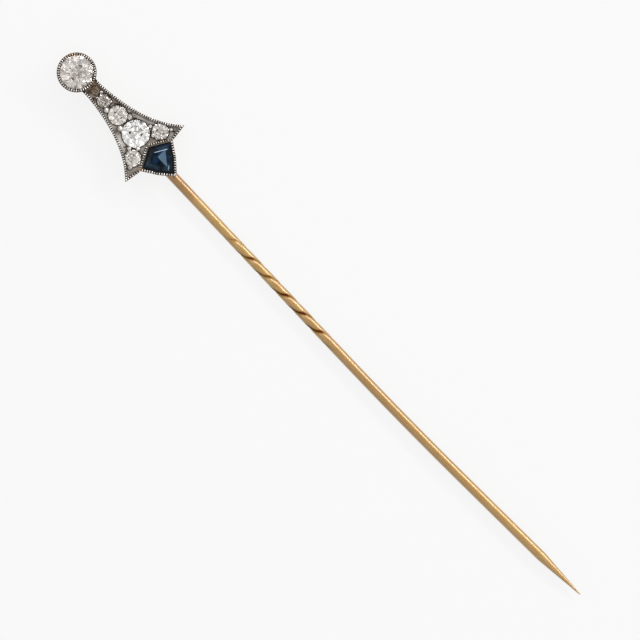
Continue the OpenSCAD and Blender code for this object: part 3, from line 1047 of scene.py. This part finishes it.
stoneSettings = {
    "top_diamond": {"tint": (0.72, 0.67, 0.63), "film": (0.48, 0.42, 0.37), "fall": 0.12,
                    "wave": 0.009},
    "neck_diamond": {"tint": (0.28, 0.19, 0.115), "film": (0.15, 0.09, 0.045), "rough": 0.12,
                     "ior": 1.7},
    "second_diamond": {"tint": (0.72, 0.65, 0.57), "film": (0.10, 0.075, 0.055),
                       "patches": (0.40, 0.56)},
    "third_diamond": {"tint": (0.73, 0.69, 0.64), "film": (0.43, 0.38, 0.335)},
    "main_diamond": {"tint": (0.855, 0.835, 0.80), "film": (0.79, 0.77, 0.74)},
    "left_wing_diamond": {"tint": (0.72, 0.67, 0.615), "film": (0.46, 0.415, 0.375)},
    "right_wing_diamond": {"tint": (0.75, 0.705, 0.665), "film": (0.42, 0.365, 0.335),
                           "patches": (0.38, 0.66)},
}


def diamondFinish(name, stone):
    rough = stone["rough"]
    work = Finish(name, {"Transmission Weight": 1.0, "IOR": stone["ior"], "Roughness": rough})
    cloudy = work.noise(work.place, *stone["cloudy"])
    fine = work.noise(work.place, *stone["fine"])
    across = work.split(work.place)["Y"]
    film = cloudy + sway(fine, stone["fineShare"]) - across * stone["fall"]
    share = work.smooth(film, *stone["patches"])
    work.give(Base_Color=work.blend(share, stone["tint"], stone["film"]),
              Roughness=rough + share * stone["filmRough"])
    work.bump(work.noise(work.place, *stone["waves"]), stone["wave"])
    return work.material


def dressStones(rows):
    for node, row in rows.items():
        name = node.replace("_diamond", "") + "Stone"
        giveFinish(nodes[node], diamondFinish(name, {**anyStone, **row}))


dressStones(stoneSettings)
print("round stones are dressed")


# Kite shaped sapphire: dark, with one light facet and a few bright streaks as painted reflections
# and highlights, and painted glints, glow and outline shade

sapphireSettings = {
    "ior": 1.22,
    "cloudy": (1.5, 3.0, 0.6, 0.3),
    "streaked": (4.0, 2.0, 0.6),
    "drawnOut": (0.6, 3.0, 1.0),  # the streaked pattern runs along the head
    "soft": 0.035,
    "lightX": 10.95,
    "lightY": -0.03,
    "edgeY": 0.98,
    "edgeFall": 0.76,
    "lightSway": (0.75, 0.8),  # how light the facet is, and how much the streaks change it
    # where each painted highlight streak starts, how it rises, where it ends, its width and
    # strength
    "streaks": [(10.45, 0.04, 0.545, 1.18, 0.06, 1.0), (12.55, -0.16, -0.79, 0.22, 0.10, 0.55)],
    "streakCore": 0.01,
    "streakStart": (0.1, 0.15),  # a streak fades in and out over these lengths
    "streakEnd": (0.15, 0.05),
    "vivid": [(10.80, 0.40, 0.40), (11.10, -0.40, 0.36), (11.55, 0.62, 0.30)],
    "vividCore": 0.3,
    "vividSway": 0.6,
    "vividShare": 0.6,
    "glow": (-0.1, 0.5, 0.6),  # where the painted bluer glow starts and is full, and how strong it is
    "patches": (0.48, 0.66),  # where the cloudy pattern turns to the patches' tone
    "deeps": (0.46, 0.36),  # and where it turns to the deep one
    "rimWidth": (0.04, 0.26),  # how far from the outline the dark rim of painted shade is full, and where it ends
    "rimSway": (0.55, 0.5),
    "roughness": 0.05,
    "rougher": (0.5, 0.8, 0.08),  # where the streaks roughen the stone, and by how much
    "reliefDepth": 0.002,
    # tones: light, streak and vivid tone are painted reflections, highlights and glints, blue a
    # painted glow
    "dark": (0.003, 0.008, 0.015),
    "deep": (0.0005, 0.001, 0.003),
    "blue": (0.006, 0.022, 0.058),
    "patch": (0.010, 0.026, 0.042),
    "vividTone": (0.004, 0.024, 0.066),
    "light": (0.095, 0.155, 0.22),
    "streak": (0.36, 0.48, 0.60),
}


def brightStreaks(work, x, y, values):  # painted highlights along the crown above the light facet and at its far end
    (inBefore, inAfter), (outBefore, outAfter) = values["streakStart"], values["streakEnd"]
    total = 0.0
    for startX, startY, rise, endY, width, strength in values["streaks"]:
        away = work.calc("ABSOLUTE", (x - startX) - (y - startY) * rise)
        part = (1 - work.smooth(away, values["streakCore"], width)) \
            * work.smooth(y, startY - inBefore, startY + inAfter) \
            * (1 - work.smooth(y, endY - outBefore, endY + outAfter))
        total = total + part * strength
    return work.clip(total)


# painted glints of vivid blue round a few places
def vividSpots(work, x, y, streaks, values):
    total = 0.0
    for spotX, spotY, radius in values["vivid"]:
        away = work.calc("SQRT", (x - spotX) * (x - spotX) + (y - spotY) * (y - spotY))
        uneven = away + sway(streaks, values["vividSway"])
        total = total + (1 - work.smooth(uneven, radius * values["vividCore"], radius))
    return work.clip(total * values["vividShare"])


def kiteRim(work, x, y, values):  # 1 along the outline, 0 inside
    wide = work.calc("ABSOLUTE", y)
    half = kiteLine(0)[:4]
    inside = head["kiteFar"]  # more than any distance inside the stone
    for start, end in zip(half[:-1], half[1:]):
        step = end - start
        away = ((x - start.x) * step.y - (wide - start.y) * step.x) / step.length
        inside = work.calc("MINIMUM", inside, away)
    return 1 - work.smooth(inside, *values["rimWidth"])


def sapphireFinish(values):
    work = Finish("navySapphire", {"IOR": values["ior"], "Roughness": values["roughness"]})
    parts = work.split(work.place)
    x, y = parts["X"] + midX, parts["Y"]
    cloudy = work.noise(work.place, *values["cloudy"])
    streaks = work.noise(work.scaled(work.place, values["drawnOut"]), *values["streaked"])
    # the light facet, a painted reflection, between the middle, the right corner and the far corner
    soft, lightX, lightY = values["soft"], values["lightX"], values["lightY"]
    inX = work.smooth(x, lightX - soft, lightX + soft)
    inY = work.smooth(y, lightY - soft, lightY + soft)
    edge = values["edgeY"] - (x - lightX) * values["edgeFall"] - y
    lightBase, lightSway = values["lightSway"]
    light = inX * inY * work.smooth(edge, -soft, soft) * (lightBase + sway(streaks, lightSway))
    # painted bluer glow in the near right facet, and the dark rest, darkest along the outline as
    # painted shade
    glowFrom, glowTo, glowShare = values["glow"]
    glow = (1 - inX) * work.smooth(y, glowFrom, glowTo)
    rimBase, rimSway = values["rimSway"]
    rim = kiteRim(work, x, y, values) * (rimBase + cloudy * rimSway)
    tone = work.blend(glow * glowShare, values["dark"], values["blue"])
    tone = work.blend(work.smooth(cloudy, *values["patches"]), tone, values["patch"])
    tone = work.blend(work.smooth(cloudy, *values["deeps"]), tone, values["deep"])
    tone = work.blend(vividSpots(work, x, y, streaks, values), tone, values["vividTone"])
    tone = work.blend(rim, tone, values["deep"])
    tone = work.blend(work.clip(light), tone, values["light"])
    tone = work.blend(brightStreaks(work, x, y, values), tone, values["streak"])
    roughFrom, roughTo, roughShare = values["rougher"]
    work.give(Base_Color=tone,
              Roughness=values["roughness"] + work.smooth(streaks, roughFrom, roughTo) * roughShare)
    work.bump(streaks, values["reliefDepth"])
    return work.material


giveFinish(nodes["kite_sapphire"], sapphireFinish(sapphireSettings))
print("sapphire is dressed")


# Pale sheet that the pin lies on, and soft light all round

studioSettings = {
    "sheetHalf": 2.0,  # metres
    "sheet": (0.06, 0.06, 0.06),
    "fibre": (3.0, 4.0, 0.6),
    "fibreShade": 0.985,
    "roughness": 0.85,
    "glow": 0.84,  # the sheet is lit a little from below
    "sky": 0.74,
    "skyTop": 0.36,  # the dark of the camera, straight above
    "skyEdge": (0.965, 0.992),  # heights between which the sky turns dark
    "key": {"place": (0.0, 0.60, 0.36), "size": (0.9, 0.10), "power": 4.3},
    "fill": {"place": (0.05, -0.42, 0.62), "size": (0.5, 0.22), "power": 0.15},
    "point": {"place": (0.5, 0.0, 0.62), "size": (0.6, 0.6), "power": 1.2},
    "head": {"place": (-0.5, 0.0, 0.62), "size": (0.6, 0.6), "power": 1.2},
}


def areaLight(name, values):  # turned to the middle of the pin
    data = bpy.data.lights.new(name, "AREA")
    data.shape = "RECTANGLE"
    data.size, data.size_y = values["size"]
    data.energy = values["power"]
    made = addObject(name, data)
    made.location = values["place"]
    made.rotation_euler = (-Vector(values["place"])).to_track_quat("-Z", "Y").to_euler()


def makeSheet(values):
    half = values["sheetHalf"]
    points = [(-half, -half, 0), (half, -half, 0), (half, half, 0), (-half, half, 0)]
    sheet = newPiece("paleSheet", points, faces=[(0, 1, 2, 3)])
    work = Finish("paleSheet", {"Roughness": values["roughness"],
                                "Emission Color": (1.0, 1.0, 1.0, 1.0),
                                "Emission Strength": values["glow"]})
    shade = tuple(v * values["fibreShade"] for v in values["sheet"])
    fibre = work.noise(work.place, *values["fibre"])
    work.give(Base_Color=work.blend(fibre, values["sheet"], shade))
    giveFinish(sheet, work.material)


def makeSky(values):
    world = bpy.data.worlds.new("tent")
    world.use_nodes = True
    scene.world = world
    sky = Graph(world.node_tree)
    high = sky.split(sky.node("ShaderNodeTexCoord", output="Generated"))["Z"]
    top, base = (values["skyTop"],) * 3, (values["sky"],) * 3
    start, end = values["skyEdge"]
    stops = [(0.0, base), (start, base), (end, top), (1.0, top)]
    tone = sky.node("ShaderNodeValToRGB", {"stops": stops}, {0: high})
    world.node_tree.links.new(tone.socket, world.node_tree.nodes["Background"].inputs["Color"])


def makeStudio(values):
    makeSheet(values)
    makeSky(values)
    for name in ("key", "fill", "point", "head"):
        areaLight(name + "Light", values[name])
    scene.view_settings.view_transform = "Standard"


makeStudio(studioSettings)
print("studio is lit")
